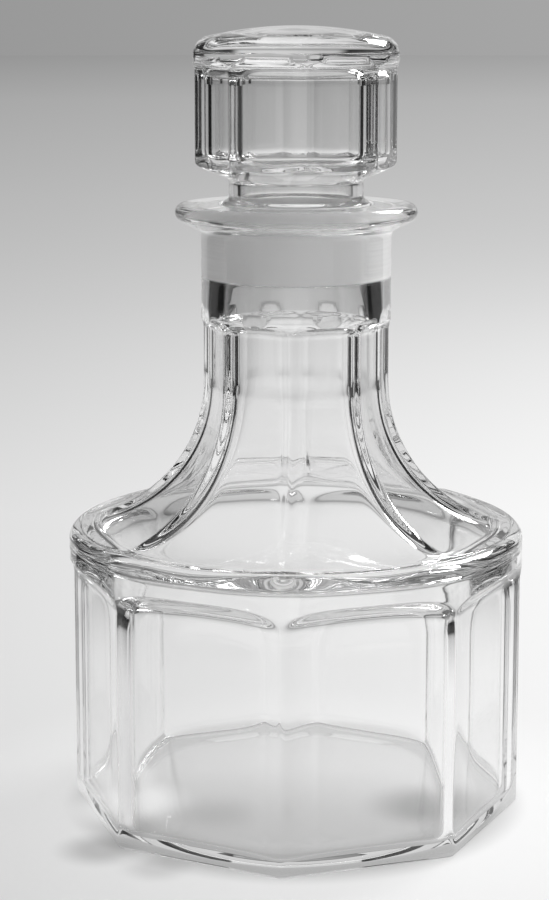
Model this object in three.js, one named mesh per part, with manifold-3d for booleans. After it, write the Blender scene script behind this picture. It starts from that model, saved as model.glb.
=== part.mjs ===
// Octagonal glass decanter with a hollow glass stopper that is ground to fit its neck.
// Millimetres, +Z up. The origin is on the table, under the middle of the base.
// -Y is the front, where a corner of the body shows.

import * as THREE from "three";
import { mergeVertices } from "three/addons/utils/BufferGeometryUtils.js";
import Module from "manifold-3d";

// Panels: flat faces pressed into the round glass, the same number on the body, the neck and the stopper
const panelCount = 8;

// Body: a drum with flat sides under a round shoulder. The flats run out in arches below the shoulder.
const shoulderRadius = 65.2;
const shoulderHeight = 83;
const shoulderRounding = 3.4;
const bodyPanelDepth = 5.1;
const bodyArchRadius = 8.4;
const bodyArchDrop = 16.4;
const footRounding = 1.5;

// Neck: ridges sweep up from the shoulder into a straight neck, under a round collar and a lip
const collarRadius = 27;
const neckPanelDepth = 2.3;
const flareReach = 1.3;
const flareFootRise = 0.3;
const flareHeight = 41;
const neckPanelLength = 15.1;
const neckArchRadius = 3.3;
const collarLength = 23.9;
const lipOverhang = 7.3;
const lipHeight = 8.4;
const lipEdgeRadius = 2.5;
const lipUndersideStep = 1.6;

// Inside of the bottle
const wallThickness = 3.4;
const cornerThickness = 5.35;
const baseThickness = 3.4;
const floorRise = 2.8;
const floorRounding = 3.5;
const standingRimWidth = 10.1;
const baseHollowDepth = 2.4;
const ceilingThickness = 4.8;
const ceilingRounding = 2;
const ceilingSweepInset = 6;
const ceilingCornerReach = 0.5;
const ceilingCornerDrop = 14;
const neckPanelWall = 6.2;
const neckHollowArch = 6;
const neckHollowSwell = 0.5;
const neckWall = 4.7;

// Ground joint: both faces of a slow taper are rubbed matt against each other
const groundLength = 21;
const jointTaperShare = 0.05;
const jointClearance = 0.3;
const mouthRounding = 1.6;

// Stopper: a hollow flat-sided head over a hollow shank
const shankLength = 21.6;
const shankWall = 4;
const waistLength = 7;
const waistWall = 3.4;
const waistRounding = 1.8;
const headRadius = 29;
const headHeight = 39.4;
const headUndersideRise = 3.2;
const headFootRounding = 2.4;
const headPanelDepth = 2.4;
const headPanelLength = 27.1;
const headArchRadius = 2.5;
const headEdgeRadius = 5.4;
const domeRise = 2.7;
const headWall = 6.2;
const headFunnelRise = 7.5;
const headCavityRounding = 7;
const roofThickness = 8;
const stopperTwistDegrees = 9;

// Fineness of the faceted model, as counts
const roundSegments = 64;
const arcSteps = 5;
const flareSteps = 12;

// How far a cutting solid runs past the face it cuts
const cutOverrun = 2;

// Heights above the table
const flareFootHeight = shoulderHeight + flareFootRise;
const flareTopHeight = flareFootHeight + flareHeight;
const neckPanelHeight = flareTopHeight + neckPanelLength;
const collarHeight = neckPanelHeight + neckArchRadius + collarLength;
const bottleHeight = collarHeight + lipHeight;
const groundBottomHeight = bottleHeight - groundLength;
const shankBottomHeight = bottleHeight - shankLength;
const waistTopHeight = bottleHeight + waistLength;
const headBottomHeight = waistTopHeight + headUndersideRise;
const stopperHeight = headBottomHeight + headHeight;

// Radii: those of the flats are measured to their middles
const ringRadius = shoulderRadius - shoulderRounding;
const bodyFlat = shoulderRadius - bodyPanelDepth;
const baseHollowRadius = bodyFlat - standingRimWidth;
const neckFlat = collarRadius - neckPanelDepth;
const flareCentreRadius = ringRadius + flareReach;
const lipRadius = collarRadius + lipOverhang;
const boreRadius = neckFlat - neckWall;
const neckHollowFlat = neckFlat - neckPanelWall;
const headFlat = headRadius - headPanelDepth;

const quarterTurn = Math.PI / 2;
const cornerShare = 1 / Math.cos(Math.PI / panelCount);

const wasm = await Module();
wasm.setup();

// A closed geometry as a solid that can be joined and cut
function toSolid(geometry) {
  const bare = new THREE.BufferGeometry();
  bare.setAttribute("position", geometry.getAttribute("position"));
  bare.setIndex(geometry.index);
  const merged = mergeVertices(bare);
  return new wasm.Manifold(
    new wasm.Mesh({
      numProp: 3,
      vertProperties: merged.getAttribute("position").array,
      triVerts: new Uint32Array(merged.index.array),
    }),
  );
}

// A solid as a geometry for a mesh
function toGeometry(solid) {
  const mesh = solid.getMesh();
  const geometry = new THREE.BufferGeometry();
  geometry.setAttribute("position", new THREE.BufferAttribute(mesh.vertProperties, 3));
  geometry.setIndex(new THREE.BufferAttribute(mesh.triVerts, 1));
  const faceted = geometry.toNonIndexed();
  faceted.computeVertexNormals();
  return faceted;
}

// A profile of [radius, height] pairs, from the bottom of the axis to its top, turned into a solid
function turned(profile, segments) {
  const points = profile.map(([radius, height]) => new THREE.Vector2(radius, height));
  return toSolid(new THREE.LatheGeometry(points, segments).rotateX(quarterTurn));
}

const round = (profile) => turned(profile, roundSegments);

// The same with flat sides: the profile's radii are those of the flats, and the first corner is at the front
const flatSided = (profile) =>
  turned(
    profile.map(([radius, height]) => [radius * cornerShare, height]),
    panelCount,
  );

// Points along an ellipse. An angle of zero points outwards, and a quarter turn points up.
function ellipse([radius, height], across, up, from, to, steps) {
  return Array.from({ length: steps + 1 }, (_, i) => {
    const angle = from + ((to - from) * i) / steps;
    return [radius + across * Math.cos(angle), height + up * Math.sin(angle)];
  });
}

const arc = (centre, radius, from, to) => ellipse(centre, radius, radius, from, to, arcSteps);

// Points along a shallow dome, from its middle to its rim
function dome(radius, rimHeight, rise) {
  return Array.from({ length: arcSteps + 1 }, (_, i) => {
    const outShare = i / arcSteps;
    return [radius * outShare, rimHeight + rise * (1 - outShare ** 2)];
  });
}

// Sweep of the flare round its centre, from level at its foot to upright at its top
function flare(footHeight, centreRadius, uprightRadius) {
  const centre = [centreRadius, flareTopHeight];
  const across = centreRadius - uprightRadius;
  const up = flareTopHeight - footHeight;
  return ellipse(centre, across, up, -quarterTurn, -2 * quarterTurn, flareSteps);
}

// Radius of the ground taper at a height, in the neck and round the shank
const groundRadius = (height) => boreRadius + (height - groundBottomHeight) * jointTaperShare;
const shankRadius = (height) => groundRadius(height) - jointClearance;
const shankBoreRadius = shankRadius(shankBottomHeight) - shankWall;

// Drum of the body: round shoulder, cut by the flats and their arches
function bodySolid() {
  const shoulderCentre = [ringRadius, shoulderHeight - shoulderRounding];
  const archCentre = [bodyFlat + bodyArchRadius, shoulderHeight - bodyArchDrop];
  const shoulder = round([
    [0, 0],
    [shoulderRadius, 0],
    ...arc(shoulderCentre, shoulderRounding, 0, quarterTurn),
    [0, shoulderHeight],
  ]);
  const panels = flatSided([
    [0, 0],
    ...arc([bodyFlat - footRounding, footRounding], footRounding, -quarterTurn, 0),
    ...arc(archCentre, bodyArchRadius, 2 * quarterTurn, quarterTurn),
    [bodyFlat + bodyArchRadius, shoulderHeight + cutOverrun],
    [0, shoulderHeight + cutOverrun],
  ]);
  return shoulder.intersect(panels);
}

// Neck: hollow-sided panels between ridges, then the collar and the lip
function neckSolid() {
  const sunk = shoulderHeight - cutOverrun;
  const lipCentre = [lipRadius - lipEdgeRadius, bottleHeight - lipEdgeRadius];
  const archCentre = [neckFlat + neckArchRadius, neckPanelHeight];
  const outside = round([
    [0, sunk],
    [ringRadius, sunk],
    [ringRadius, flareTopHeight],
    [collarRadius, flareTopHeight],
    [collarRadius, collarHeight],
    [collarRadius + lipUndersideStep, collarHeight + lipUndersideStep],
    ...arc(lipCentre, lipEdgeRadius, -quarterTurn / 2, quarterTurn),
    [0, bottleHeight],
  ]);
  const panels = flatSided([
    [0, sunk],
    [flareCentreRadius, sunk],
    ...flare(flareFootHeight, flareCentreRadius, neckFlat),
    ...arc(archCentre, neckArchRadius, 2 * quarterTurn, quarterTurn),
    [lipRadius + cutOverrun, neckPanelHeight + neckArchRadius],
    [lipRadius + cutOverrun, bottleHeight + cutOverrun],
    [0, bottleHeight + cutOverrun],
  ]);
  return outside.intersect(panels);
}

// Room inside the bottle. Its flats follow those outside up to the collar, where a round bore takes over.
// Its corners run out under the ceiling, which is nearly round.
function bottleCavity() {
  const wallFlat = bodyFlat - wallThickness;
  const cornerRadius = bodyFlat * cornerShare - cornerThickness;
  const ceilingHeight = shoulderHeight - ceilingThickness;
  const ceilingFlat = wallFlat - ceilingRounding;
  const wallTopHeight = ceilingHeight - ceilingRounding;
  const neckHollowHeight = neckPanelHeight + neckArchRadius;
  const sweepCentreRadius = flareCentreRadius - ceilingSweepInset;
  const sweep = flare(ceilingHeight, sweepCentreRadius, neckHollowFlat);
  const innerFlare = sweep.filter(([radius]) => radius < ceilingFlat);
  const mouthHeight = bottleHeight - mouthRounding;
  const mouthRadius = groundRadius(mouthHeight) + mouthRounding;
  const aboveMouth = bottleHeight + cutOverrun;
  const flatWalls = flatSided([
    [0, baseThickness],
    ...arc([wallFlat - floorRounding, baseThickness + floorRounding], floorRounding, -quarterTurn, 0),
    ...arc([ceilingFlat, wallTopHeight], ceilingRounding, 0, quarterTurn),
    ...innerFlare,
    [neckHollowFlat, neckHollowHeight - neckHollowArch],
    [boreRadius + neckHollowSwell, neckHollowHeight],
    [lipRadius, neckHollowHeight],
    [lipRadius, aboveMouth],
    [0, aboveMouth],
  ]);
  const roundWalls = round([
    ...dome(baseHollowRadius, baseThickness, floorRise),
    [baseHollowRadius, baseThickness - cutOverrun],
    [cornerRadius, baseThickness - cutOverrun],
    [cornerRadius, wallTopHeight - ceilingCornerDrop],
    ...arc([ceilingFlat + ceilingCornerReach, wallTopHeight], ceilingRounding, 0, quarterTurn),
    [boreRadius + neckHollowSwell, flareTopHeight],
    [boreRadius + neckHollowSwell, neckHollowHeight],
    [boreRadius, groundBottomHeight],
    ...arc([mouthRadius, mouthHeight], mouthRounding, 2 * quarterTurn, quarterTurn),
    [mouthRadius, aboveMouth],
    [0, aboveMouth],
  ]);
  return flatWalls.intersect(roundWalls);
}

// Shallow dome pressed up under the base, so that the bottle stands on a rim
function baseHollow() {
  return round([
    [0, -cutOverrun],
    [baseHollowRadius, -cutOverrun],
    ...dome(baseHollowRadius, 0, baseHollowDepth).reverse(),
  ]);
}

function bottleSolid() {
  return bodySolid().add(neckSolid()).subtract(bottleCavity()).subtract(baseHollow());
}

// Outside of the stopper: ground shank, waist, flat-sided head under a round domed top
function stopperOutside() {
  const waistRadius = shankBoreRadius + waistWall;
  const footCentre = [headRadius - headFootRounding, headBottomHeight + headFootRounding];
  const domeRadius = headRadius - headEdgeRadius;
  const rimHeight = stopperHeight - domeRise;
  const archCentre = [headFlat + headArchRadius, headBottomHeight + headPanelLength];
  const outside = round([
    [0, shankBottomHeight],
    [shankRadius(shankBottomHeight), shankBottomHeight],
    [shankRadius(bottleHeight), bottleHeight],
    [waistRadius, bottleHeight + waistRounding],
    [waistRadius, waistTopHeight],
    ...arc(footCentre, headFootRounding, -quarterTurn, 0),
    ...arc([domeRadius, rimHeight - headEdgeRadius], headEdgeRadius, 0, quarterTurn),
    ...dome(domeRadius, rimHeight, domeRise).reverse(),
  ]);
  const panels = flatSided([
    [0, shankBottomHeight - cutOverrun],
    [headFlat, shankBottomHeight - cutOverrun],
    ...arc(archCentre, headArchRadius, 2 * quarterTurn, quarterTurn),
    [headRadius + cutOverrun, headBottomHeight + headPanelLength + headArchRadius],
    [headRadius + cutOverrun, stopperHeight + cutOverrun],
    [0, stopperHeight + cutOverrun],
  ]);
  return outside.intersect(panels);
}

// Hollow of the stopper, open at the end of the shank
function stopperCavity() {
  const cavityRadius = headFlat - headWall;
  const roofHeight = stopperHeight - roofThickness;
  const roofCentre = [cavityRadius - headCavityRounding, roofHeight - headCavityRounding];
  return round([
    [0, shankBottomHeight - cutOverrun],
    [shankBoreRadius, shankBottomHeight - cutOverrun],
    [shankBoreRadius, waistTopHeight],
    [cavityRadius, waistTopHeight + headFunnelRise],
    ...arc(roofCentre, headCavityRounding, 0, quarterTurn),
    [0, roofHeight],
  ]);
}

function stopperSolid() {
  return stopperOutside().subtract(stopperCavity());
}

// One named mesh of clear glass
function glassMesh(name, solid) {
  const glass = new THREE.MeshStandardMaterial({
    color: "#e4eaea",
    roughness: 0.03,
    metalness: 0,
    transparent: true,
    opacity: 0.35,
  });
  const mesh = new THREE.Mesh(toGeometry(solid), glass);
  mesh.name = name;
  return mesh;
}

const decanter = new THREE.Group();
decanter.add(glassMesh("bottle", bottleSolid()));

const stopper = glassMesh("stopper", stopperSolid());
stopper.rotation.z = THREE.MathUtils.degToRad(stopperTwistDegrees);
decanter.add(stopper);

export default decanter;
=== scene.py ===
import math

import bpy
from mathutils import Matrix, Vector


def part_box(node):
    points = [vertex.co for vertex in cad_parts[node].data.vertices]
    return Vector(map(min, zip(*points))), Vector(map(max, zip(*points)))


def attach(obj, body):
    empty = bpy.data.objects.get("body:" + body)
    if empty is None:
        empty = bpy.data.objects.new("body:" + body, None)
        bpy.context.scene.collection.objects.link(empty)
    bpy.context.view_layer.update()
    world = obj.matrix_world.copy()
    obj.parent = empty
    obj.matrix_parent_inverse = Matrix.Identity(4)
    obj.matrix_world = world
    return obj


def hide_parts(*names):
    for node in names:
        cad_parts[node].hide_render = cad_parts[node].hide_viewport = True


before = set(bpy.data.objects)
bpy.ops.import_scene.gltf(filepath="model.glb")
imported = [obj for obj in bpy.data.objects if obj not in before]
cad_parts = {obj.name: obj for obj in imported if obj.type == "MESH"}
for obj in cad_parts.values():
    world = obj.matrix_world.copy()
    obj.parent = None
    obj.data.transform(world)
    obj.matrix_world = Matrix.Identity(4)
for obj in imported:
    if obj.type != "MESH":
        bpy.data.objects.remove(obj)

bl_info = {
    "name": "Octagonal Glass Decanter",
    "version": (1, 0, 0),
    "blender": (4, 5, 0),
    "location": "View3D > Sidebar > Decanter",
    "description": "Makes a clear panelled glass decanter with a ground stopper, and a plain studio for it",
    "category": "Object",
}

MM = 0.001
DEGREE = math.pi / 180
HALF_TURN = math.pi
QUARTER_TURN = math.pi / 2
EIGHTH_TURN = math.pi / 4

# Boxes of the two pieces at rest, which give the width, the height of the mouth and the stopper's ends
BOTTLE_LOW, BOTTLE_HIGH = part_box("bottle")
STOPPER_LOW, STOPPER_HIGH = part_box("stopper")

# The photograph and its fitted camera, in pixels, and the camera's sensor in millimetres
PHOTO_WIDTH = 549
PHOTO_HEIGHT = 900
PHOTO_FOCAL = 2208.9
PHOTO_AXIS_COLUMN = 296.2
PHOTO_CENTRE_ROW = 364.3
SENSOR_WIDTH = 36.0

# Distances in metres between which the camera sees, and sides of the floor
NEAREST = 0.01
FARTHEST = 100
FLOOR_SIDES = 96

# Painted falloff of the floor's light: its tones by 1 / (1 + the distance from the decanter in metres)
FLOOR_TONES = (
    (0.077, "#a6a6a6"),
    (0.156, "#bababa"),
    (0.32, "#cbcbcb"),
    (0.465, "#d5d5d5"),
    (0.595, "#e0e0e0"),
    (0.72, "#ebebeb"),
    (0.9, "#ededed"),
    (0.94, "#f6f6f6"),
)

# Tones of the room above the floor, by the sine of the height above the horizon
SKY_TONES = (
    (0.02, "#a6a6a6"),
    (0.07, "#d4d4d4"),
    (0.3, "#dcdcdc"),
    (0.45, "#8c8c8c"),
    (0.7, "#8c8c8c"),
    (0.95, "#c4c4c4"),
)

# Painted spots of light and shade on the paper, where the glass would cast them: the place and the radii at
# which each is full and has faded, in millimetres, and its share of the brightest or, below nought, of the
# darkest
PAINTED_CAST_SPOTS = (
    (-46, -13, 4, 21, 1.0),
    (-54, 8, 3, 14, 0.7),
    (38, -10, 4, 21, -1.0),
    (-20, -20, 2, 17, -0.35),
    (-51, -46, 3, 15, -0.8),
    (-34, -58, 2, 12, -0.5),
)

# Where the painted shade of the paper under the glass begins and is full, by the distance from the axis
RIM_INSIDE = (44 * MM, 54 * MM)
RIM_OUTSIDE = (69 * MM, 61 * MM)
UNDER_GLASS = (64 * MM, 56 * MM)

# Where the painted light on the paper under the glass begins to grow and is brightest, from front to back,
# and how much of the difference is painted shade below the paper's own tone
FRONT_TO_BACK = (-45 * MM, 35 * MM)
FRONT_SHARE = 0.66

# Sines of the angles to the left and the right of the camera between which the painted light grows, and
# the distance from the camera within which they are blurred
SIDE_SINES = (-0.25, 0.06)
SIDE_BLUR = 150 * MM

# Half widths of the painted dark cards that glass alone sees in the sky, and the sines of the heights at
# which
# they end: faded, full
SKY_CARD_SIDES = (27 * DEGREE, 20 * DEGREE)
SKY_CARD_TOPS = (0.6, 0.4)

# Key lamp, seen from the decanter: round to the right from the back, and up, then its distance and its
# size in metres
KEY_SIDE = 40 * DEGREE
KEY_UP = 42 * DEGREE
KEY_DISTANCE = 1.3
KEY_SIZE = (0.5, 0.4)

# Soda-lime glass bends light by this much
GLASS_IOR = 1.52

# Streaks of the ground faces: repeats per metre round the axis, the span of most of the noise that makes
# them, how much smoother and rougher they get, how deep they are, and how clear the whitest stay
STREAKS_ROUND = 30
NOISE_SPAN = (0.3, 0.7)
STREAK_SMOOTHER = 0.12
STREAK_ROUGHER = 0.1
STREAK_DEPTH = 0.1 * MM
STREAK_STRENGTH = 0.35
STREAK_CLEARNESS = 0.75

# Reflections and passes through glass that the render follows
GLASS_BOUNCES = 40
GLOSSY_BOUNCES = 12

# Spokes from ridge to ridge of a piece, the share of them that is spread evenly, and seeds of the waves
SPOKES_PER_PANEL = 30
EVEN_SHARE = 0.3
BOTTLE_SEED = 3.0
STOPPER_SEED = 8.0

# Shares of the full waves on the underside and on the top of the lip
UNDERSIDE_WAVES = 0.5
LIP_WAVES = 0.3

# Node types and settings that are used most, and the sockets of a Mix node of colours
MATH = "ShaderNodeMath"
VECTOR_MATH = "ShaderNodeVectorMath"
MAP_RANGE = "ShaderNodeMapRange"
MIX = "ShaderNodeMix"
EASED = {"interpolation_type": "SMOOTHSTEP"}
MIXED = {"data_type": "RGBA", "blend_type": "MIX"}
MULTIPLIED = {"data_type": "RGBA", "blend_type": "MULTIPLY"}
MIX_PART = 0
MIX_FIRST = 6
MIX_SECOND = 7
MIX_COLOUR = 2


def length(name, description, millimetres):
    """A size that the sidebar shows."""
    return bpy.props.FloatProperty(
        name=name, description=description, default=millimetres * MM, unit="LENGTH", precision=5
    )


def angle(name, description, degrees):
    """An angle that the sidebar shows."""
    return bpy.props.FloatProperty(
        name=name, description=description, default=degrees * DEGREE, subtype="ANGLE"
    )


def share(name, description, default):
    """A part of one, such as a roughness or the strength of a shade."""
    return bpy.props.FloatProperty(
        name=name, description=description, default=default, min=0, max=1, subtype="FACTOR"
    )


def count(name, description, default):
    """A whole number that the sidebar shows."""
    return bpy.props.IntProperty(name=name, description=description, default=default, min=1)


def linear(code):
    """An sRGB hex value as linear red, green, blue and alpha."""
    channels = [int(code[i : i + 2], 16) / 255 for i in (1, 3, 5)]
    return [c / 12.92 if c <= 0.04045 else ((c + 0.055) / 1.055) ** 2.4 for c in channels] + [1.0]


def colour(name, description, code):
    """A colour that the sidebar shows, given as an sRGB hex value."""
    return bpy.props.FloatVectorProperty(
        name=name, description=description, default=linear(code), size=4, min=0, max=1, subtype="COLOR"
    )


class DECANTER_PG_bottle(bpy.types.PropertyGroup):
    """Sizes of the bottle. Its panels are flats pressed into a round body and a round neck."""

    panel_depth: length("Body panel depth", "How far the flats lie inside the shoulder", 5.1)
    shoulder_height: length("Shoulder height", "Height of the shoulder above the table", 83)
    shoulder_rounding: length("Shoulder rounding", "Radius of the edge of the shoulder", 3.4)
    arch_radius: length("Body arch radius", "Radius with which the body's flats run out", 8.4)
    arch_drop: length("Body arch drop", "From the shoulder down to where the arches spring", 16.4)
    foot_rounding: length("Foot rounding", "Radius of the bottom edge", 1.5)
    collar_radius: length("Collar radius", "Radius of the round part of the neck", 27)
    neck_panel_depth: length("Neck panel depth", "How far the flats of the neck lie inside the collar", 2.3)
    flare_reach: length("Flare reach", "How far past the ring the sweep would run level", 1.3)
    flare_foot_rise: length("Flare foot rise", "Height of the foot of the sweep above the shoulder", 0.3)
    flare_height: length("Flare height", "Height of the sweep from the shoulder to the neck", 41)
    neck_panel_length: length("Neck panel length", "Upright part of the flats of the neck", 15.1)
    neck_arch_radius: length("Neck arch radius", "Radius with which the neck's flats run out", 3.3)
    lip_overhang: length("Lip overhang", "How far the lip stands out past the collar", 7.3)
    lip_edge: length("Lip edge", "Radius of the edge of the lip", 2.5)
    lip_fillet: length("Lip fillet", "Radius under the lip", 2.4)
    lip_slope: angle("Lip slope", "Slope of the underside of the lip", 27)
    wall: length("Wall", "Glass thickness at the flats of the body", 3.4)
    base: length("Base", "Glass thickness at the rim of the base", 3.4)
    floor_rise: length("Floor rise", "How far the floor rises in the middle", 2.8)
    floor_rounding: length("Floor rounding", "Radius between the floor and the walls", 3.5)
    rim_width: length("Standing rim width", "Width of the rim on which the bottle stands", 10.1)
    hollow_depth: length("Base hollow depth", "Depth of the hollow under the base", 2.4)
    ceiling: length("Ceiling", "Glass thickness at the shoulder", 5.7)
    ceiling_inset: length("Ceiling inset", "From the centre of the outer sweep in to the inner one", 3)
    ceiling_rounding: length("Ceiling rounding", "Radius between the ceiling and the walls", 2)
    neck_wall: length("Neck wall", "From the flats of the neck in to the ground bore", 4.7)
    inner_neck_wall: length("Inner neck wall", "Glass thickness at the flats of the neck", 5.2)
    inner_arch: length("Inner arch", "Height over which the flats inside the neck run out", 4)
    neck_swell: length("Neck swell", "How far the hollow swells below the ground bore", 0.8)
    ceiling_ring: length("Ceiling ring", "How far the corners reach past the flats at the ceiling", 1.2)
    ceiling_drop: length("Ceiling drop", "Height over which the corners inside the body grow", 14)
    inner_corner: length("Inner corner", "How far the corners inside the body reach past its flats", 3)
    mouth_rounding: length("Mouth rounding", "Radius of the edge of the mouth", 1.6)
    outer_rounding: length("Outer edge softness", "Softness of the fire-polished outer edges", 1.3)
    inner_rounding: length("Inner edge softness", "Softness of the corners inside", 3.5)


class DECANTER_PG_stopper(bpy.types.PropertyGroup):
    """Sizes of the stopper, which is hollow and open at the end of its shank."""

    twist: angle("Twist", "How far the stopper is turned in the neck", 9)
    head_radius: length("Head radius", "Radius of the round part of the head", 29)
    head_panel_depth: length("Head panel depth", "How far the flats of the head lie inside it", 2.4)
    underside_rise: length("Underside rise", "Rise of the underside of the head", 3.2)
    foot_rounding: length("Head foot rounding", "Radius of the lower edge of the head", 2.4)
    panel_length: length("Head panel length", "From the underside of the head up to the arches", 27.1)
    arch_radius: length("Head arch radius", "Radius with which the flats of the head run out", 2.5)
    edge_rounding: length("Head edge rounding", "Radius of the upper edge of the head", 5.4)
    dome_rise: length("Dome rise", "Rise of the top of the head", 2.84)
    dome_turn: angle("Dome turn", "Where the upper edge turns into the dome", 77.1)
    waist_length: length("Waist length", "From the mouth up to the head", 7)
    waist_wall: length("Waist wall", "Glass thickness at the waist", 3.4)
    waist_rounding: length("Waist rounding", "Radius between the shank and the waist", 1.8)
    shank_wall: length("Shank wall", "Glass thickness at the end of the shank", 4)
    shank_rounding: length("Shank rounding", "Radius of the edges at the end of the shank", 0.7)
    head_wall: length("Head wall", "Glass thickness at the flats of the head", 6.2)
    hollow_corner: length("Hollow corner", "How far the corners of the hollow reach past its flats", 0.7)
    funnel_rise: length("Funnel rise", "Height over which the hollow widens into the head", 7.5)
    roof: length("Roof", "Glass thickness over the hollow", 10)
    roof_rounding: length("Roof rounding", "Radius at the top of the hollow", 5)
    outer_rounding: length("Outer edge softness", "Softness of the fire-polished outer edges", 0.9)
    inner_rounding: length("Inner edge softness", "Softness of the corners inside", 1.5)


class DECANTER_PG_glass(bpy.types.PropertyGroup):
    """What both pieces share: the panels, the ground joint and the glass."""

    panels: count("Panels", "Number of flats round the body, the neck and the stopper", 8)
    ground_length: length("Ground length", "Length of the matt band inside the mouth", 21)
    taper: share("Taper", "Widening of the ground joint, as a share of its length", 0.05)
    clearance: length("Clearance", "Gap left between the ground faces", 0.3)
    wave_height: length("Wave height", "Height of the waves that pressing leaves in the glass", 0.05)
    wave_size: length("Wave size", "Distance between the waves", 14)
    glass_colour: colour("Glass colour", "Tint of the glass", "#fdfdfd")
    glass_roughness: share("Glass roughness", "Roughness of the fire-polished faces", 0.0)
    ground_roughness: share("Ground roughness", "Roughness of the ground faces", 0.42)
    ground_white: share("Ground whiteness", "How white the ground faces are", 0.68)
    streak_spacing: length("Streak spacing", "Distance between the rings left by grinding", 0.5)


class DECANTER_PG_stage(bpy.types.PropertyGroup):
    """Camera, floor and light."""

    distance: length("Camera distance", "From the axis of the decanter, level", 623.4)
    height: length("Camera height", "Above the table", 227.55)
    tilt: angle("Camera tilt", "Down from level", 9)
    side: angle("Camera side", "How far the camera stands round to the right", 3.37)
    floor_radius: length("Floor radius", "Radius of the floor", 12000)
    glow: share("Floor glow", "How much of the floor's tone shows without the shadow", 0.8)
    # Light and shade painted into the floor's colour: the shade to the left, under the rim, and the spots
    # and slope that stand in for what the glass casts
    painted_left_shade: share("Left shade", "How much darker the floor gets to the left", 0.2)
    painted_rim_shade: share("Rim shade", "How dark the floor is under the rim of the bottle", 0.2)
    painted_cast_shade: share("Cast shade", "How dark the darkest spot is that the glass casts", 0.42)
    painted_cast_light: share("Cast light", "How bright the brightest spot is that the glass gathers", 0.55)
    painted_cast_slope: share("Cast slope", "How much brighter the floor gets from front to back", 0.28)
    # The dark cards are painted into the floor and the sky, and only glass shows them
    card_gap: angle("Card gap", "Half of the gap between the dark cards", 1.5)
    card_blur: angle("Card blur", "Softness of the edges of the dark cards", 3)
    card_start: length("Card start", "Distance at which the dark cards begin", 170)
    card_colour: colour("Card colour", "Colour of the dark cards", "#1c1c1c")
    sky_strength: share("Sky strength", "Strength of the even light from above", 0.8)
    sky_lean: share("Sky lean", "How much stronger that light is from the right than from the middle", 0.5)
    key_power: bpy.props.FloatProperty(
        name="Key power", description="Power of the large soft lamp", default=14, unit="POWER"
    )


# Distance in metres at which a ring's flats are so far out that they never cut it
NO_FLATS = 1.0

# Runs of rings that would begin on the last ring of the run before begin this much past it
RING_GAP = 1 * MM

# The same for runs that go from nought to one: the swell under the bore, the inner arch and the walls
SWELL_START = 0.05
ARCH_START = 0.06
WALL_START = 0.03


def ring(radius, height, flat=NO_FLATS, inside=0.0, ground=0.0, wavy=1.0):
    """One ring of a turned profile, with the distance of the flats that cut it from the axis, and how much
    it is inside, ground and wavy, from nought to one."""
    return {
        "radius": radius,
        "height": height,
        "flat": flat,
        "inside": inside,
        "ground": ground,
        "wavy": wavy,
    }


def steps(start, end, number):
    """Evenly spaced numbers from start to end, both included, with a number of gaps between them."""
    return [start + (end - start) * i / number for i in range(number + 1)]


def shares(number):
    """Evenly spaced shares from nought to one."""
    return steps(0.0, 1.0, number)


def without_doubles(rings):
    """The same rings, each one some way from the one before."""
    least = 0.01 * MM
    kept = rings[:1]
    for item in rings[1:]:
        last = kept[-1]
        moved = max(abs(item[key] - last[key]) for key in ("radius", "height"))
        cut = abs(min(item["flat"], item["radius"]) - min(last["flat"], last["radius"]))
        if max(moved, cut) > least:
            kept.append(item)
    return kept


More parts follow.
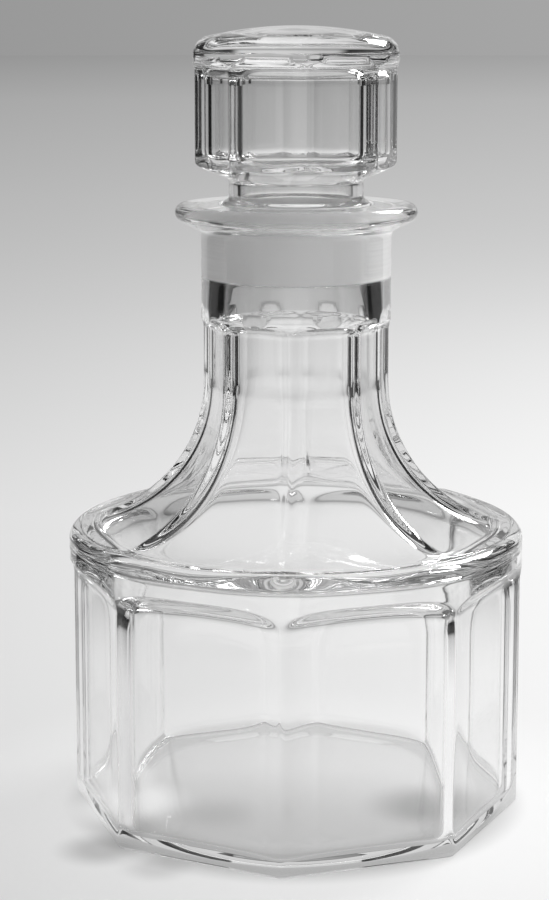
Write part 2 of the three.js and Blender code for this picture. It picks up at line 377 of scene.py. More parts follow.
def bottle_rings(size, glass):
    """Profile of the bottle, from the middle of its underside over the outside and down the inside."""
    shoulder = BOTTLE_HIGH.x
    top = BOTTLE_HIGH.z
    ring_radius = shoulder - size.shoulder_rounding
    flat = shoulder - size.panel_depth
    hollow = flat - size.rim_width
    neck_flat = size.collar_radius - size.neck_panel_depth
    centre = ring_radius + size.flare_reach
    flare_foot = size.shoulder_height + size.flare_foot_rise
    flare_top = flare_foot + size.flare_height
    neck_arch = flare_top + size.neck_panel_length
    arch_foot = size.shoulder_height - size.arch_drop
    bore = neck_flat - size.neck_wall
    ground_foot = top - glass.ground_length
    lip = size.collar_radius + size.lip_overhang
    rings = []

    for s in shares(9):
        rings.append(ring(hollow * s, size.hollow_depth * (1 - s * s), wavy=UNDERSIDE_WAVES * (1 - s)))
    rim = flat - size.foot_rounding
    for s in shares(6):
        rings.append(ring(hollow + (shoulder - hollow) * s, 0.0, hollow + (rim - hollow) * s, wavy=0.0))
    for t in steps(0.0, QUARTER_TURN, 8):
        height = size.foot_rounding * (1 - math.cos(t))
        rings.append(ring(shoulder, height, rim + size.foot_rounding * math.sin(t), wavy=0.0))
    for height in steps(size.foot_rounding, arch_foot, 10):
        rings.append(ring(shoulder, height, flat))
    for t in steps(0.0, QUARTER_TURN, 28):
        out = flat + size.arch_radius * (1 - math.cos(t))
        rings.append(ring(shoulder, arch_foot + size.arch_radius * math.sin(t), out, wavy=math.cos(t)))
    band_top = size.shoulder_height - size.shoulder_rounding
    for height in steps(arch_foot + size.arch_radius, band_top, 5):
        rings.append(ring(shoulder, height, wavy=0))
    for t in steps(0.0, QUARTER_TURN, 14):
        out = ring_radius + size.shoulder_rounding * math.cos(t)
        rings.append(ring(out, band_top + size.shoulder_rounding * math.sin(t), wavy=math.sin(t)))
    for t in steps(QUARTER_TURN, 0.0, 64):
        limit = size.collar_radius + (ring_radius - size.collar_radius) * math.sin(t)
        out = centre - (centre - neck_flat) * math.cos(t)
        rings.append(ring(limit, flare_top - size.flare_height * math.sin(t), out))
    for height in steps(flare_top, neck_arch, 6):
        rings.append(ring(size.collar_radius, height, neck_flat))
    for t in steps(0.0, QUARTER_TURN, 20):
        out = neck_flat + size.neck_arch_radius * (1 - math.cos(t))
        rings.append(ring(size.collar_radius, neck_arch + size.neck_arch_radius * math.sin(t), out))

    # Lip: a fillet, a sloping underside and a round edge
    edge = Vector((lip - size.lip_edge, top - size.lip_edge))
    steep = QUARTER_TURN - size.lip_slope
    edge_start = edge + size.lip_edge * Vector((math.cos(steep), -math.sin(steep)))
    corner = edge_start.y - (edge_start.x - size.collar_radius) * math.tan(size.lip_slope)
    fillet = Vector((size.collar_radius + size.lip_fillet, corner - size.lip_fillet * math.tan(steep / 2)))
    for height in steps(neck_arch + size.neck_arch_radius, fillet.y, 6):
        rings.append(ring(size.collar_radius, height))
    for t in steps(0.0, steep, 8):
        out = fillet.x - size.lip_fillet * math.cos(t)
        rings.append(ring(out, fillet.y + size.lip_fillet * math.sin(t)))
    for t in steps(-steep, QUARTER_TURN, 16):
        out = edge.x + size.lip_edge * math.cos(t)
        rings.append(ring(out, edge.y + size.lip_edge * math.sin(t)))

    # Mouth and ground bore
    def ground_radius(height):
        return bore + (height - ground_foot) * glass.taper

    mouth = top - size.mouth_rounding
    mouth_radius = ground_radius(mouth) + size.mouth_rounding
    for radius in steps(edge.x, mouth_radius, 5):
        rings.append(ring(radius, top, wavy=LIP_WAVES))
    for t in steps(QUARTER_TURN, HALF_TURN, 8):
        out = mouth_radius + size.mouth_rounding * math.cos(t)
        rings.append(ring(out, mouth + size.mouth_rounding * math.sin(t), inside=1, wavy=0))
    for height in steps(mouth, ground_foot, 10):
        rings.append(ring(ground_radius(height), height, inside=1, ground=1, wavy=0))

    # Below the ground bore the hollow swells a little, then follows the panels outside
    neck_inner = neck_flat - size.inner_neck_wall
    hollow_neck = bore + size.neck_swell
    for s in steps(SWELL_START, 1.0, 12):
        swell = size.neck_swell * s
        height = ground_foot + (neck_arch + size.neck_arch_radius - ground_foot) * s
        rings.append(ring(bore + swell, height, inside=1))
    arch_top = rings[-1]["height"]
    for s in steps(ARCH_START, 1.0, 16):
        ease = (1 - math.cos(HALF_TURN * s)) / 2
        out = hollow_neck - (hollow_neck - neck_inner) * ease
        rings.append(ring(hollow_neck, arch_top - size.inner_arch * s, out, inside=1))
    for height in steps(arch_top - size.inner_arch - RING_GAP, flare_top, 6):
        rings.append(ring(hollow_neck, height, neck_inner, inside=1))

    # Inside of the flare and the ceiling. The sweep ends where the rounding into the walls touches it.
    inner_flat = flat - size.wall
    ceiling = size.shoulder_height - size.ceiling
    inner_centre = centre - size.ceiling_inset
    across = inner_centre - neck_inner
    drop = flare_top - ceiling
    round_x = inner_flat - size.ceiling_rounding
    edge_radius = round_x + size.ceiling_ring
    for t in steps(0.0, QUARTER_TURN, 60):
        slope = math.atan2(drop * math.cos(t), across * math.sin(t))
        out = inner_centre - across * math.cos(t)
        turn = QUARTER_TURN - slope
        if out > round_x + size.ceiling_rounding * math.cos(turn):
            break
        limit = hollow_neck + (edge_radius - hollow_neck) * math.sin(t)
        rings.append(ring(limit, flare_top - drop * math.sin(t), out, inside=1))
    round_y = rings[-1]["height"] - size.ceiling_rounding * math.sin(turn)
    for t in steps(turn, 0.0, 16):
        out = round_x + size.ceiling_rounding * math.cos(t)
        height = round_y + size.ceiling_rounding * math.sin(t)
        rings.append(ring(out + size.ceiling_ring, height, out, inside=1))

    # Walls and floor
    corner_radius = inner_flat + size.inner_corner
    floor_edge = size.base + size.floor_rounding
    for s in steps(WALL_START, 1.0, 14):
        ease = (1 - math.cos(HALF_TURN * s)) / 2
        limit = inner_flat + size.ceiling_ring + (size.inner_corner - size.ceiling_ring) * ease
        rings.append(ring(limit, round_y - size.ceiling_drop * s, inner_flat, inside=1))
    for height in steps(round_y - size.ceiling_drop - RING_GAP, floor_edge, 7):
        rings.append(ring(corner_radius, height, inner_flat, inside=1))
    floor_flat = inner_flat - size.floor_rounding
    for t in steps(0.0, QUARTER_TURN, 10):
        out = floor_flat + size.floor_rounding * math.cos(t)
        rings.append(ring(corner_radius, floor_edge - size.floor_rounding * math.sin(t), out, inside=1))
    for s in shares(5):
        out = corner_radius + (hollow - corner_radius) * s
        rings.append(ring(out, size.base, floor_flat + (hollow - floor_flat) * s, inside=1))
    for s in steps(1.0, 0.0, 10):
        rings.append(ring(hollow * s, size.base + size.floor_rise * (1 - s * s), inside=1))
    return without_doubles(rings)


def stopper_rings(size, bottle, glass):
    """Profile of the stopper, from the roof of its hollow down the inside and up the outside."""
    mouth = BOTTLE_HIGH.z
    foot = STOPPER_LOW.z
    top = STOPPER_HIGH.z
    bore = bottle.collar_radius - bottle.neck_panel_depth - bottle.neck_wall
    ground_foot = mouth - glass.ground_length

    def shank_radius(height):
        return bore + (height - ground_foot) * glass.taper - glass.clearance

    shank_bore = shank_radius(foot) - size.shank_wall
    waist = shank_bore + size.waist_wall
    waist_top = mouth + size.waist_length
    head_foot = waist_top + size.underside_rise
    flat = size.head_radius - size.head_panel_depth
    cavity = flat - size.head_wall
    roof = top - size.roof
    rings = []

    roof_flat = cavity - size.roof_rounding
    for s in shares(8):
        rings.append(ring(roof_flat * s, roof, inside=1))
    corner = size.hollow_corner
    for t in steps(QUARTER_TURN, 0.0, 18):
        out = roof_flat + size.roof_rounding * math.cos(t)
        height = roof - size.roof_rounding * (1 - math.sin(t))
        rings.append(ring(out + corner * math.cos(t), height, out, inside=1))
    for height in steps(roof - size.roof_rounding, waist_top + size.funnel_rise, 12):
        rings.append(ring(cavity + corner, height, cavity, inside=1))
    for s in shares(14):
        ease = (1 + math.cos(HALF_TURN * s)) / 2
        out = shank_bore + (cavity - shank_bore) * ease
        height = waist_top + size.funnel_rise * (1 - s)
        rings.append(ring(out + corner * ease, height, out + corner * (1 - ease), inside=1))
    for height in steps(waist_top, foot + size.shank_rounding, 16):
        rings.append(ring(shank_bore, height, inside=1))
    for t in steps(HALF_TURN, HALF_TURN + QUARTER_TURN, 5):
        out = shank_bore + size.shank_rounding * (1 + math.cos(t))
        rings.append(ring(out, foot + size.shank_rounding * (1 + math.sin(t)), wavy=0))
    end = shank_radius(foot) - size.shank_rounding
    for t in steps(-QUARTER_TURN, 0.0, 5):
        out = end + size.shank_rounding * math.cos(t)
        rings.append(ring(out, foot + size.shank_rounding * (1 + math.sin(t)), wavy=0))
    for height in steps(foot + 2 * size.shank_rounding, mouth, 22):
        rings.append(ring(shank_radius(height), height, ground=1, wavy=0))

    # Waist, the underside of the head and its lower edge
    for s in shares(8):
        ease = (1 + math.cos(HALF_TURN * s)) / 2
        out = waist + (shank_radius(mouth) - waist) * ease
        rings.append(ring(out, mouth + size.waist_rounding * s))
    edge = Vector((size.head_radius - size.foot_rounding, head_foot + size.foot_rounding))
    rise = math.atan2(size.underside_rise, edge.x - waist)
    start = edge + size.foot_rounding * Vector((math.sin(rise), -math.cos(rise)))
    corner = start.y - (start.x - waist) * math.tan(rise)
    turn = QUARTER_TURN - rise
    fillet = Vector((waist + size.waist_rounding, corner - size.waist_rounding * math.tan(turn / 2)))
    for height in steps(mouth + size.waist_rounding, fillet.y, 5):
        rings.append(ring(waist, height))
    for t in steps(0.0, turn, 8):
        out = fillet.x - size.waist_rounding * math.cos(t)
        rings.append(ring(out, fillet.y + size.waist_rounding * math.sin(t)))
    for s in steps(0.25, 0.75, 2):
        at = Vector((rings[-1]["radius"], rings[-1]["height"])).lerp(start, s)
        rings.append(ring(at.x, at.y, flat))
    for t in steps(-turn, 0.0, 12):
        out = edge.x + size.foot_rounding * math.cos(t)
        rings.append(ring(out, edge.y + size.foot_rounding * math.sin(t), flat))
    arch_foot = head_foot + size.panel_length
    for height in steps(edge.y, arch_foot, 12):
        rings.append(ring(size.head_radius, height, flat))
    for t in steps(0.0, QUARTER_TURN, 20):
        out = flat + size.arch_radius * (1 - math.cos(t))
        rings.append(ring(size.head_radius, arch_foot + size.arch_radius * math.sin(t), out))

    # Upper edge and dome
    dome_radius = size.head_radius - size.edge_rounding * (1 - math.cos(size.dome_turn))
    dome_foot = top - size.dome_rise
    shoulder = dome_foot - size.edge_rounding * math.sin(size.dome_turn)
    for t in steps(0.0, size.dome_turn, 18):
        out = size.head_radius - size.edge_rounding * (1 - math.cos(t))
        rings.append(ring(out, shoulder + size.edge_rounding * math.sin(t)))
    for s in steps(1.0, 0.0, 14):
        rings.append(ring(dome_radius * s, dome_foot + size.dome_rise * (1 - s * s), wavy=s))
    return without_doubles(rings)


def spoke_angles(panels, per_panel, turn):
    """Angles round the axis, closer together at the ridges between the panels."""
    found = []
    for panel in range(panels):
        for i in range(per_panel):
            t = 2 * i / per_panel - 1
            bent = EVEN_SHARE * t + (1 - EVEN_SHARE) * t ** 3
            found.append(turn + (panel + bent / 2) * 2 * HALF_TURN / panels)
    return found


def turned_blank(name, rings, angles):
    """A closed turned mesh whose points carry what the panel tree reads. Its first and last rings are
    single points on the axis."""
    vertices = []
    values = {key: [] for key in ("flat", "inside", "ground", "wavy")}
    for index, item in enumerate(rings):
        pole = index in (0, len(rings) - 1)
        for a in angles[:1] if pole else angles:
            radius = 0.0 if pole else item["radius"]
            vertices.append((radius * math.sin(a), -radius * math.cos(a), item["height"]))
            for key, found in values.items():
                found.append(item[key])
    number = len(angles)
    last = len(vertices) - 1
    faces = []
    for i in range(number):
        j = (i + 1) % number
        faces.append((0, 1 + j, 1 + i))
        top = last - number
        faces.append((last, top + i, top + j))
    for level in range(len(rings) - 3):
        low = 1 + level * number
        high = low + number
        for i in range(number):
            j = (i + 1) % number
            faces.append((low + i, low + j, high + j, high + i))
    mesh = bpy.data.meshes.new(name)
    mesh.from_pydata(vertices, [], faces)
    for key, found in values.items():
        mesh.attributes.new(key, "FLOAT", "POINT").data.foreach_set("value", found)
    blank = bpy.data.objects.new(name, mesh)
    bpy.context.scene.collection.objects.link(blank)
    return blank


def add_node(tree, kind, links=(), output=None, **settings):
    """Adds a node with its settings. links gives its inputs by name, by number or in their order, each as a
    value or as another node's output. Returns the named or numbered output, or the node without one."""
    node = tree.nodes.new(kind)
    for key, value in settings.items():
        setattr(node, key, value)
    pairs = links.items() if isinstance(links, dict) else enumerate(links)
    for key, value in pairs:
        if isinstance(value, bpy.types.NodeSocket):
            tree.links.new(value, node.inputs[key])
        else:
            node.inputs[key].default_value = value
    return node if output is None else node.outputs[output]


def panel_tree():
    """Geometry Nodes that cut flats into a turned blank, soften its edges and make the glass wavy."""
    tree = bpy.data.node_groups.new("Panelled glass", "GeometryNodeTree")
    new = tree.interface.new_socket
    new("Geometry", in_out="INPUT", socket_type="NodeSocketGeometry")
    new("Panels", in_out="INPUT", socket_type="NodeSocketInt")
    for name in ("Turn", "Outer rounding", "Inner rounding", "Wave height", "Wave size", "Seed"):
        new(name, in_out="INPUT", socket_type="NodeSocketFloat")
    new("Material", in_out="INPUT", socket_type="NodeSocketMaterial")
    new("Geometry", in_out="OUTPUT", socket_type="NodeSocketGeometry")
    given = tree.nodes.new("NodeGroupInput").outputs
    stored = {}
    for name in ("flat", "inside", "wavy"):
        stored[name] = add_node(
            tree, "GeometryNodeInputNamedAttribute", {"Name": name}, "Attribute", data_type="FLOAT"
        )

    # Place round the axis
    place = add_node(tree, "GeometryNodeInputPosition", output=0)
    across = add_node(tree, "ShaderNodeSeparateXYZ", (place,)).outputs
    square_x = add_node(tree, MATH, (across["X"], 2.0), 0, operation="POWER")
    square_y = add_node(tree, MATH, (across["Y"], 2.0), 0, operation="POWER")
    square = add_node(tree, MATH, (square_x, square_y), 0, operation="ADD")
    radius = add_node(tree, MATH, (square,), 0, operation="SQRT")
    front = add_node(tree, MATH, (across["Y"], -1.0), 0, operation="MULTIPLY")
    bearing = add_node(tree, MATH, (across["X"], front), 0, operation="ARCTAN2")
    turned = add_node(tree, MATH, (bearing, given["Turn"]), 0, operation="SUBTRACT")

    # Angle to the nearest ridge
    sector = add_node(tree, MATH, (2 * HALF_TURN, given["Panels"]), 0, operation="DIVIDE")
    sectors = add_node(tree, MATH, (turned, sector), 0, operation="DIVIDE")
    nearest = add_node(tree, MATH, (sectors,), 0, operation="ROUND")
    past = add_node(tree, MATH, (sectors, nearest), 0, operation="SUBTRACT")
    apart = add_node(tree, MATH, (past,), 0, operation="ABSOLUTE")
    off = add_node(tree, MATH, (apart, sector), 0, operation="MULTIPLY")

    # The two flats that meet at that ridge, and the turned surface, blended softly
    half = add_node(tree, MATH, (sector, 2.0), 0, operation="DIVIDE")
    flats = []
    for side in ("SUBTRACT", "ADD"):
        angle_off = add_node(tree, MATH, (half, off), 0, operation=side)
        slant = add_node(tree, MATH, (angle_off,), 0, operation="COSINE")
        flats.append(add_node(tree, MATH, (stored["flat"], slant), 0, operation="DIVIDE"))
    roundings = (given["Inner rounding"], given["Outer rounding"])
    more = add_node(tree, MATH, roundings, 0, operation="SUBTRACT")
    blend = (stored["inside"], more, given["Outer rounding"])
    rounding = add_node(tree, MATH, blend, 0, operation="MULTIPLY_ADD")
    ridge = add_node(tree, MATH, (*flats, rounding), 0, operation="SMOOTH_MIN")
    cut = add_node(tree, MATH, (radius, ridge, rounding), 0, operation="SMOOTH_MIN")
    scale = add_node(tree, MATH, (cut, radius), 0, operation="DIVIDE")
    moved_x = add_node(tree, MATH, (across["X"], scale), 0, operation="MULTIPLY")
    moved_y = add_node(tree, MATH, (across["Y"], scale), 0, operation="MULTIPLY")
    moved = add_node(tree, "ShaderNodeCombineXYZ", (moved_x, moved_y, across["Z"]), "Vector")
    links = {"Geometry": given["Geometry"], "Position": moved}
    shaped = add_node(tree, "GeometryNodeSetPosition", links, "Geometry")

    # Waves run along the normal, only into the glass, and stay off the ground faces and the standing rim
    fineness = add_node(tree, MATH, (1.0, given["Wave size"]), 0, operation="DIVIDE")
    links = {"W": given["Seed"], "Scale": fineness, "Detail": 1.0}
    waves = add_node(tree, "ShaderNodeTexNoise", links, 0, noise_dimensions="4D")
    inward = add_node(tree, MATH, (waves, 1.0), 0, operation="SUBTRACT")
    depth = add_node(tree, MATH, (inward, given["Wave height"]), 0, operation="MULTIPLY")
    height = add_node(tree, MATH, (depth, stored["wavy"]), 0, operation="MULTIPLY")
    normal = add_node(tree, "GeometryNodeInputNormal", output=0)
    links = {0: normal, "Scale": height}
    offset = add_node(tree, VECTOR_MATH, links, "Vector", operation="SCALE")
    links = {"Geometry": shaped, "Offset": offset}
    wavy = add_node(tree, "GeometryNodeSetPosition", links, "Geometry")
    links = {"Geometry": wavy, "Shade Smooth": True}
    smooth = add_node(tree, "GeometryNodeSetShadeSmooth", links, "Geometry")
    real = add_node(tree, "GeometryNodeRealizeInstances", {"Geometry": smooth}, "Geometry")
    links = {"Geometry": real, "Material": given["Material"]}
    done = add_node(tree, "GeometryNodeSetMaterial", links, "Geometry")
    add_node(tree, "NodeGroupOutput", (done,))
    return tree


def pressed_piece(name, node, rings, size, glass, turn, seed):
    """Cuts the panels into a turned blank and lets the plain result stand for a node of the frame."""
    inputs = {
        "Panels": glass.panels,
        "Turn": turn,
        "Outer rounding": size.outer_rounding,
        "Inner rounding": size.inner_rounding,
        "Wave height": glass.wave_height,
        "Wave size": glass.wave_size,
        "Seed": seed,
        "Material": pressed_glass(glass),
    }
    blank = turned_blank(name + "_blank", rings, spoke_angles(glass.panels, SPOKES_PER_PANEL, turn))
    tree = bpy.data.node_groups.get("Panelled glass") or panel_tree()
    modifier = blank.modifiers.new("Panels", "NODES")
    modifier.node_group = tree
    for socket in tree.interface.items_tree:
        if socket.in_out == "INPUT" and socket.name in inputs:
            modifier[socket.identifier] = inputs[socket.name]
    bpy.context.view_layer.update()
    evaluated = blank.evaluated_get(bpy.context.evaluated_depsgraph_get())
    mesh = bpy.data.meshes.new_from_object(evaluated)
    mesh.name = name
    blank_mesh = blank.data
    bpy.data.objects.remove(blank)
    bpy.data.meshes.remove(blank_mesh)
    piece = bpy.data.objects.new(name, mesh)
    bpy.context.scene.collection.objects.link(piece)
    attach(piece, node)
    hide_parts(node)
    return piece


def pressed_glass(look):
    """Soda-lime glass, pressed and fire-polished: clear and glossy, with matt bands where it was ground."""
    material = bpy.data.materials.get("Pressed soda-lime glass")
    if material:
        return material
    material = bpy.data.materials.new("Pressed soda-lime glass")
    material.use_nodes = True
    tree = material.node_tree
    tree.nodes.clear()
    place = add_node(tree, "ShaderNodeTexCoord", output="Object")
    ground = add_node(tree, "ShaderNodeAttribute", output="Fac", attribute_name="ground")

    # The ground faces are streaked round the axis by the grinding wheel
    scale = (STREAKS_ROUND, STREAKS_ROUND, 1 / look.streak_spacing)
    stretched = add_node(tree, "ShaderNodeMapping", {"Vector": place, "Scale": scale}, "Vector")
    links = {"Vector": stretched, "Scale": 1.0, "Detail": 3.0}
    streaks = add_node(tree, "ShaderNodeTexNoise", links, 0)
    smooth = look.ground_roughness - STREAK_SMOOTHER
    rough = look.ground_roughness + STREAK_ROUGHER
    uneven = add_node(tree, MAP_RANGE, (streaks, *NOISE_SPAN, smooth, rough), "Result")
    spans = {"Value": ground, "To Min": look.glass_roughness, "To Max": uneven}
    roughness = add_node(tree, MAP_RANGE, spans, "Result")
    depth = add_node(tree, MATH, (streaks, ground), 0, operation="MULTIPLY")
    links = {"Height": depth, "Strength": STREAK_STRENGTH, "Distance": STREAK_DEPTH}
    bump = add_node(tree, "ShaderNodeBump", links, "Normal")

    # They let a little light through, less in the whitest streaks
    clearest = 1 - look.ground_white
    whitest = STREAK_CLEARNESS - STREAK_CLEARNESS * look.ground_white
    white = add_node(tree, MAP_RANGE, (streaks, *NOISE_SPAN, clearest, whitest), "Result")
    spans = {"Value": ground, "To Min": 1.0, "To Max": white}
    clear = add_node(tree, MAP_RANGE, spans, "Result")
    links = {
        "Base Color": look.glass_colour,
        "IOR": GLASS_IOR,
        "Transmission Weight": clear,
        "Roughness": roughness,
        "Normal": bump,
    }
    shader = add_node(tree, "ShaderNodeBsdfPrincipled", links, "BSDF")
    add_node(tree, "ShaderNodeOutputMaterial", {"Surface": shader})
    return material


class DECANTER_OT_bottle(bpy.types.Operator):
    """Make the bottle"""

    bl_idname = "decanter.bottle"
    bl_label = "Bottle"

    def execute(self, context):
        size = context.scene.decanter_bottle
        glass = context.scene.decanter_glass
        rings = bottle_rings(size, glass)
        pressed_piece("glass_bottle", "bottle", rings, size, glass, 0.0, BOTTLE_SEED)
        return {"FINISHED"}


class DECANTER_OT_stopper(bpy.types.Operator):
    """Make the stopper"""

    bl_idname = "decanter.stopper"
    bl_label = "Stopper"

    def execute(self, context):
        size = context.scene.decanter_stopper
        glass = context.scene.decanter_glass
        rings = stopper_rings(size, context.scene.decanter_bottle, glass)
        turn = size.twist
        pressed_piece("glass_stopper", "stopper", rings, size, glass, turn, STOPPER_SEED)
        return {"FINISHED"}


def set_tones(ramp, tones):
    """Gives a colour ramp its greys, as pairs of a value and an sRGB hex value, and returns its colour."""
    stops = ramp.color_ramp.elements
    for index, (spot, code) in enumerate(tones):
        stop = stops[index] if index < len(stops) else stops.new(spot)
        stop.position = spot
        stop.color = linear(code)
    return ramp.outputs[0]


def turn_from_back(tree, across):
    """Angle round the axis from the middle of the back, the same to both sides."""
    bearing = add_node(tree, MATH, (across["X"], across["Y"]), 0, operation="ARCTAN2")
    return add_node(tree, MATH, (bearing,), 0, operation="ABSOLUTE")


def seen_ray(tree):
    """One for what the camera sees, directly, in a reflection or through glass, and then one for the last
    two alone. Both are nought for light that comes off a matt surface."""
    path = add_node(tree, "ShaderNodeLightPath").outputs
    bent = (path["Is Glossy Ray"], path["Is Transmission Ray"])
    glass = add_node(tree, MATH, bent, 0, operation="MAXIMUM")
    seen = add_node(tree, MATH, (path["Is Camera Ray"], glass), 0, operation="MAXIMUM")
    direct = add_node(tree, MATH, (path["Diffuse Depth"], 0.5), 0, operation="LESS_THAN")
    return [add_node(tree, MATH, (ray, direct), 0, operation="MULTIPLY") for ray in (seen, glass)]


def painted_side_shade(tree, look, beside, ahead):
    """Painted shade: the light comes from the right, so floor and sky are painted greyer to the left of the
    camera.
    """
    square = add_node(tree, MATH, (ahead, ahead, SIDE_BLUR ** 2), 0, operation="MULTIPLY_ADD")
    square = add_node(tree, MATH, (beside, beside, square), 0, operation="MULTIPLY_ADD")
    away = add_node(tree, MATH, (square,), 0, operation="SQRT")
    sine = add_node(tree, MATH, (beside, away), 0, operation="DIVIDE")
    return add_node(tree, MAP_RANGE, (sine, *SIDE_SINES, 1 - look.painted_left_shade, 1.0), "Result")


def painted_glass_light(tree, look, place, along, far):
    """Painted light and shade that stand in for what the glass does to the light on the paper under it, as
    a share of the paper's own tone: less at the rim, in front and on the right, and more behind and on the
    left."""
    rise = add_node(tree, MAP_RANGE, (far, *RIM_INSIDE), "Result", **EASED)
    fall = add_node(tree, MAP_RANGE, (far, *RIM_OUTSIDE), "Result", **EASED)
    rim = add_node(tree, MATH, (rise, fall), 0, operation="MULTIPLY")
    under = add_node(tree, MAP_RANGE, (far, *UNDER_GLASS), "Result", **EASED)
    # Painted light that grows from front to back under the glass
    back = add_node(tree, MAP_RANGE, (along, *FRONT_TO_BACK), "Result", **EASED)
    behind = add_node(tree, MATH, (back, FRONT_SHARE), 0, operation="SUBTRACT")
    slope = add_node(tree, MATH, (behind, under), 0, operation="MULTIPLY")
    light = add_node(tree, MATH, (slope, look.painted_cast_slope), 0, operation="MULTIPLY")
    # Painted spots of light and shade where the glass would cast them
    for x, y, full, faded, part in PAINTED_CAST_SPOTS:
        strength = look.painted_cast_light * part if part > 0 else look.painted_cast_shade * part
        off = add_node(tree, VECTOR_MATH, (place, (-x * MM, -y * MM, 0)), "Vector", operation="ADD")
        apart = add_node(tree, VECTOR_MATH, (off,), "Value", operation="LENGTH")
        spot = add_node(tree, MAP_RANGE, (apart, faded * MM, full * MM), "Result", **EASED)
        light = add_node(tree, MATH, (spot, strength, light), 0, operation="MULTIPLY_ADD")
    # Painted shade under the standing rim
    light = add_node(tree, MATH, (rim, -look.painted_rim_shade, light), 0, operation="MULTIPLY_ADD")
    return add_node(tree, MATH, (light, 1.0), 0, operation="ADD")


def floor_paper(look):
    """Matt paper painted pale near the decanter and greyer far away, a painted falloff of light as on a lit
    sweep of paper.
    """
    material = bpy.data.materials.new("Matt backdrop paper")
    material.use_nodes = True
    tree = material.node_tree
    tree.nodes.clear()
    place = add_node(tree, "ShaderNodeTexCoord", output="Object")
    across = add_node(tree, "ShaderNodeSeparateXYZ", (place,)).outputs
    far = add_node(tree, VECTOR_MATH, (place,), "Value", operation="LENGTH")
    farther = add_node(tree, MATH, (far, 1.0), 0, operation="ADD")
    nearness = add_node(tree, MATH, (1.0, farther), 0, operation="DIVIDE")
    tone = set_tones(add_node(tree, "ShaderNodeValToRGB", (nearness,)), FLOOR_TONES)

    # Painted shade to the left of the camera, and painted light and shade under the glass
    camera_x, camera_y = camera_spot(look)
    beside = add_node(tree, MATH, (across["X"], camera_x), 0, operation="SUBTRACT")
    ahead = add_node(tree, MATH, (across["Y"], camera_y), 0, operation="SUBTRACT")
    side = painted_side_shade(tree, look, beside, ahead)
    light = painted_glass_light(tree, look, place, across["Y"], far)
    shade = add_node(tree, MATH, (side, light), 0, operation="MULTIPLY")
    links = {MIX_PART: 1.0, MIX_FIRST: tone, MIX_SECOND: shade}
    paper = add_node(tree, MIX, links, MIX_COLOUR, **MULTIPLIED)

    # The camera and the glass see the paper mostly as a glow, so that it keeps its tone, with the shadow
    seen, through_glass = seen_ray(tree)
    # Dark cards painted into the paper's colour, which only the glass shows
    cards = painted_dark_cards(tree, look, across, far)
    dark = add_node(tree, MATH, (cards, through_glass), 0, operation="MULTIPLY")
    links = {MIX_PART: dark, MIX_FIRST: paper, MIX_SECOND: look.card_colour}
    shown = add_node(tree, MIX, links, MIX_COLOUR, **MIXED)
    lit = add_node(tree, "ShaderNodeBsdfDiffuse", {"Color": shown}, "BSDF")
    glow = add_node(tree, "ShaderNodeEmission", {"Color": shown, "Strength": 1.0}, 0)
    part = add_node(tree, MATH, (seen, look.glow), 0, operation="MULTIPLY")
    mixed = add_node(tree, "ShaderNodeMixShader", (part, lit, glow), 0)
    add_node(tree, "ShaderNodeOutputMaterial", {"Surface": mixed})
    return material


def painted_dark_cards(tree, look, across, far):
    """One where the paper is painted with dark cards that only glass shows, which draw its edges. They
    stand between the main directions, so that the glass stays clear from each of these."""
    gap = look.card_gap
    blurred = gap + look.card_blur
    start = look.card_start
    turn = turn_from_back(tree, across)
    wrapped = add_node(tree, MATH, (turn, EIGHTH_TURN), 0, operation="PINGPONG")
    ends = (EIGHTH_TURN - gap, EIGHTH_TURN - blurred)
    one_side = add_node(tree, MAP_RANGE, (wrapped, gap, blurred), "Result", **EASED)
    other_side = add_node(tree, MAP_RANGE, (wrapped, *ends), "Result", **EASED)
    sideways = add_node(tree, MATH, (turn, QUARTER_TURN, EIGHTH_TURN), 0, operation="COMPARE")
    away = add_node(tree, MAP_RANGE, (far, start, 2 * start), "Result", **EASED)
    card = add_node(tree, MATH, (one_side, other_side), 0, operation="MULTIPLY")
    card = add_node(tree, MATH, (card, sideways), 0, operation="MULTIPLY")
    return add_node(tree, MATH, (card, away), 0, operation="MULTIPLY")


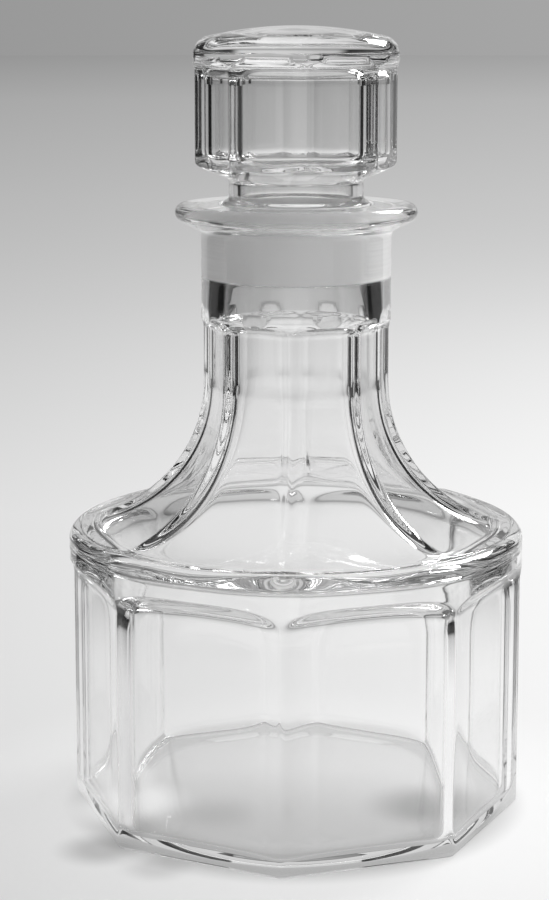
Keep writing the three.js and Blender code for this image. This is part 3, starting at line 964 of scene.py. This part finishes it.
def studio_world(look):
    """An even sky that lights matt surfaces, and a toned one that is seen. Glass alone shows painted dark
    cards in it.
    """
    world = bpy.data.worlds.new("Studio sky")
    bpy.context.scene.world = world
    world.use_nodes = True
    tree = world.node_tree
    tree.nodes.clear()
    direction = add_node(tree, "ShaderNodeTexCoord", output="Generated")
    across = add_node(tree, "ShaderNodeSeparateXYZ", (direction,)).outputs
    up = across["Z"]
    tone = set_tones(add_node(tree, "ShaderNodeValToRGB", (up,)), SKY_TONES)

    # Painted dark cards that only the glass shows
    turn = turn_from_back(tree, across)
    folded = add_node(tree, MATH, (turn, QUARTER_TURN), 0, operation="PINGPONG")
    past = add_node(tree, MATH, (folded, EIGHTH_TURN), 0, operation="SUBTRACT")
    off = add_node(tree, MATH, (past,), 0, operation="ABSOLUTE")
    sides = add_node(tree, MAP_RANGE, (off, *SKY_CARD_SIDES), "Result", **EASED)
    low = add_node(tree, MAP_RANGE, (up, *SKY_CARD_TOPS), "Result", **EASED)
    seen, through_glass = seen_ray(tree)
    card = add_node(tree, MATH, (sides, low), 0, operation="MULTIPLY")
    dark = add_node(tree, MATH, (card, through_glass), 0, operation="MULTIPLY")
    links = {MIX_PART: dark, MIX_FIRST: tone, MIX_SECOND: look.card_colour}
    carded = add_node(tree, MIX, links, MIX_COLOUR, **MIXED)
    # Painted shade to the left, the same as on the floor
    shade = painted_side_shade(tree, look, across["X"], across["Y"])
    links = {MIX_PART: 1.0, MIX_FIRST: carded, MIX_SECOND: shade}
    shown = add_node(tree, MIX, links, MIX_COLOUR, **MULTIPLIED)

    lean = (across["X"], look.sky_strength * look.sky_lean, look.sky_strength)
    strength = add_node(tree, MATH, lean, 0, operation="MULTIPLY_ADD")
    links = {"Color": linear("#ffffff"), "Strength": strength}
    light = add_node(tree, "ShaderNodeBackground", links, 0)
    view = add_node(tree, "ShaderNodeBackground", {"Color": shown, "Strength": 1.0}, 0)
    mixed = add_node(tree, "ShaderNodeMixShader", (seen, light, view), 0)
    add_node(tree, "ShaderNodeOutputWorld", {"Surface": mixed})


def camera_spot(look):
    """Where the camera stands, seen from above."""
    return look.distance * math.sin(look.side), -look.distance * math.cos(look.side)


def make_camera(look):
    """A camera at the photograph's place, with its frame shifted as the photograph is cropped."""
    data = bpy.data.cameras.new("Camera")
    data.sensor_fit = "AUTO"
    data.sensor_width = SENSOR_WIDTH
    data.lens = PHOTO_FOCAL / PHOTO_HEIGHT * SENSOR_WIDTH
    data.shift_y = (PHOTO_CENTRE_ROW - PHOTO_HEIGHT / 2) / PHOTO_HEIGHT
    data.clip_start = NEAREST
    data.clip_end = FARTHEST
    camera = bpy.data.objects.new("Camera", data)
    bpy.context.scene.collection.objects.link(camera)
    pan = math.atan((PHOTO_AXIS_COLUMN - PHOTO_WIDTH / 2) / PHOTO_FOCAL)
    camera.location = (*camera_spot(look), look.height)
    camera.rotation_euler = (QUARTER_TURN - look.tilt, 0, look.side + pan)
    bpy.context.scene.camera = camera


def area_lamp(name, place, target, width, height, power):
    """A rectangular soft lamp that faces a point."""
    data = bpy.data.lights.new(name, "AREA")
    data.shape = "RECTANGLE"
    data.size = width
    data.size_y = height
    data.energy = power
    lamp = bpy.data.objects.new(name, data)
    bpy.context.scene.collection.objects.link(lamp)
    lamp.location = place
    lamp.rotation_euler = (Vector(target) - Vector(place)).to_track_quat("-Z", "Y").to_euler()
    return lamp


class DECANTER_OT_stage(bpy.types.Operator):
    """Make the camera, the floor and the light"""

    bl_idname = "decanter.stage"
    bl_label = "Stage"

    def execute(self, context):
        look = context.scene.decanter_stage
        scene = context.scene
        scene.view_settings.view_transform = "Standard"
        scene.cycles.use_denoising = True
        scene.cycles.max_bounces = GLASS_BOUNCES
        scene.cycles.transmission_bounces = GLASS_BOUNCES
        scene.cycles.glossy_bounces = GLOSSY_BOUNCES
        make_camera(look)
        studio_world(look)
        radius = look.floor_radius
        bpy.ops.mesh.primitive_circle_add(vertices=FLOOR_SIDES, radius=radius, fill_type="NGON")
        floor = context.object
        floor.name = "floor"
        floor.data.materials.append(floor_paper(look))
        centre = (0, 0, BOTTLE_HIGH.z / 2)
        level = KEY_DISTANCE * math.cos(KEY_UP)
        key_place = (
            level * math.sin(KEY_SIDE),
            level * math.cos(KEY_SIDE),
            KEY_DISTANCE * math.sin(KEY_UP),
        )
        area_lamp("Key", key_place, centre, *KEY_SIZE, look.key_power)
        return {"FINISHED"}


class DECANTER_PT_sidebar(bpy.types.Panel):
    """Lists the pieces and their sizes"""

    bl_idname = "DECANTER_PT_sidebar"
    bl_label = "Decanter"
    bl_space_type = "VIEW_3D"
    bl_region_type = "UI"
    bl_category = "Decanter"

    def draw(self, context):
        for operator in OPERATORS:
            self.layout.operator(operator.bl_idname)
        for name in GROUPS:
            group = getattr(context.scene, name)
            box = self.layout.box()
            for key in group.bl_rna.properties.keys():
                if key not in ("rna_type", "name"):
                    box.prop(group, key)


GROUPS = {
    "decanter_bottle": DECANTER_PG_bottle,
    "decanter_stopper": DECANTER_PG_stopper,
    "decanter_glass": DECANTER_PG_glass,
    "decanter_stage": DECANTER_PG_stage,
}
OPERATORS = (DECANTER_OT_stage, DECANTER_OT_bottle, DECANTER_OT_stopper)


def register():
    for cls in (*GROUPS.values(), *OPERATORS, DECANTER_PT_sidebar):
        bpy.utils.register_class(cls)
    for name, cls in GROUPS.items():
        setattr(bpy.types.Scene, name, bpy.props.PointerProperty(type=cls))


def unregister():
    for name in GROUPS:
        delattr(bpy.types.Scene, name)
    for cls in (DECANTER_PT_sidebar, *reversed(OPERATORS), *reversed(GROUPS.values())):
        bpy.utils.unregister_class(cls)


def main():
    register()
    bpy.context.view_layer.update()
    bpy.ops.decanter.stage()
    bpy.ops.decanter.bottle()
    bpy.ops.decanter.stopper()


if __name__ == "__main__":
    main()
